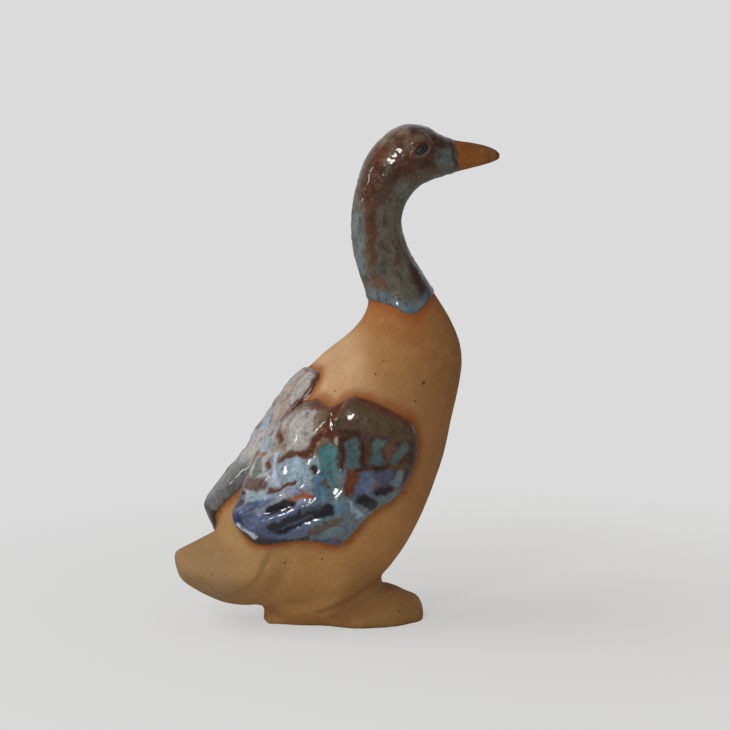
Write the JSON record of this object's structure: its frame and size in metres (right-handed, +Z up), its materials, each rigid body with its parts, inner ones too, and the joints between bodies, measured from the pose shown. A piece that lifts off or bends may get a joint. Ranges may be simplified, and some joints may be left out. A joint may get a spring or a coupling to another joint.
{
  "type": "duck figurine",
  "caption": "Upright hand-made duck figurine with a bent neck, folded feathered wings and a pointed tail, standing on a flat pad of a foot.",
  "frame": {"origin": "middle of the flat underside of the foot", "axes": "+X the way the duck looks, +Y to the duck's left, +Z up"},
  "size_m": [0.0675, 0.0392, 0.1003],
  "materials": {
    "stoneware": "matt fired clay, with gloss glaze on the head, neck and wings"
  },
  "bodies": {
    "root": {"duck": "stoneware"}
  },
  "joints": []
}
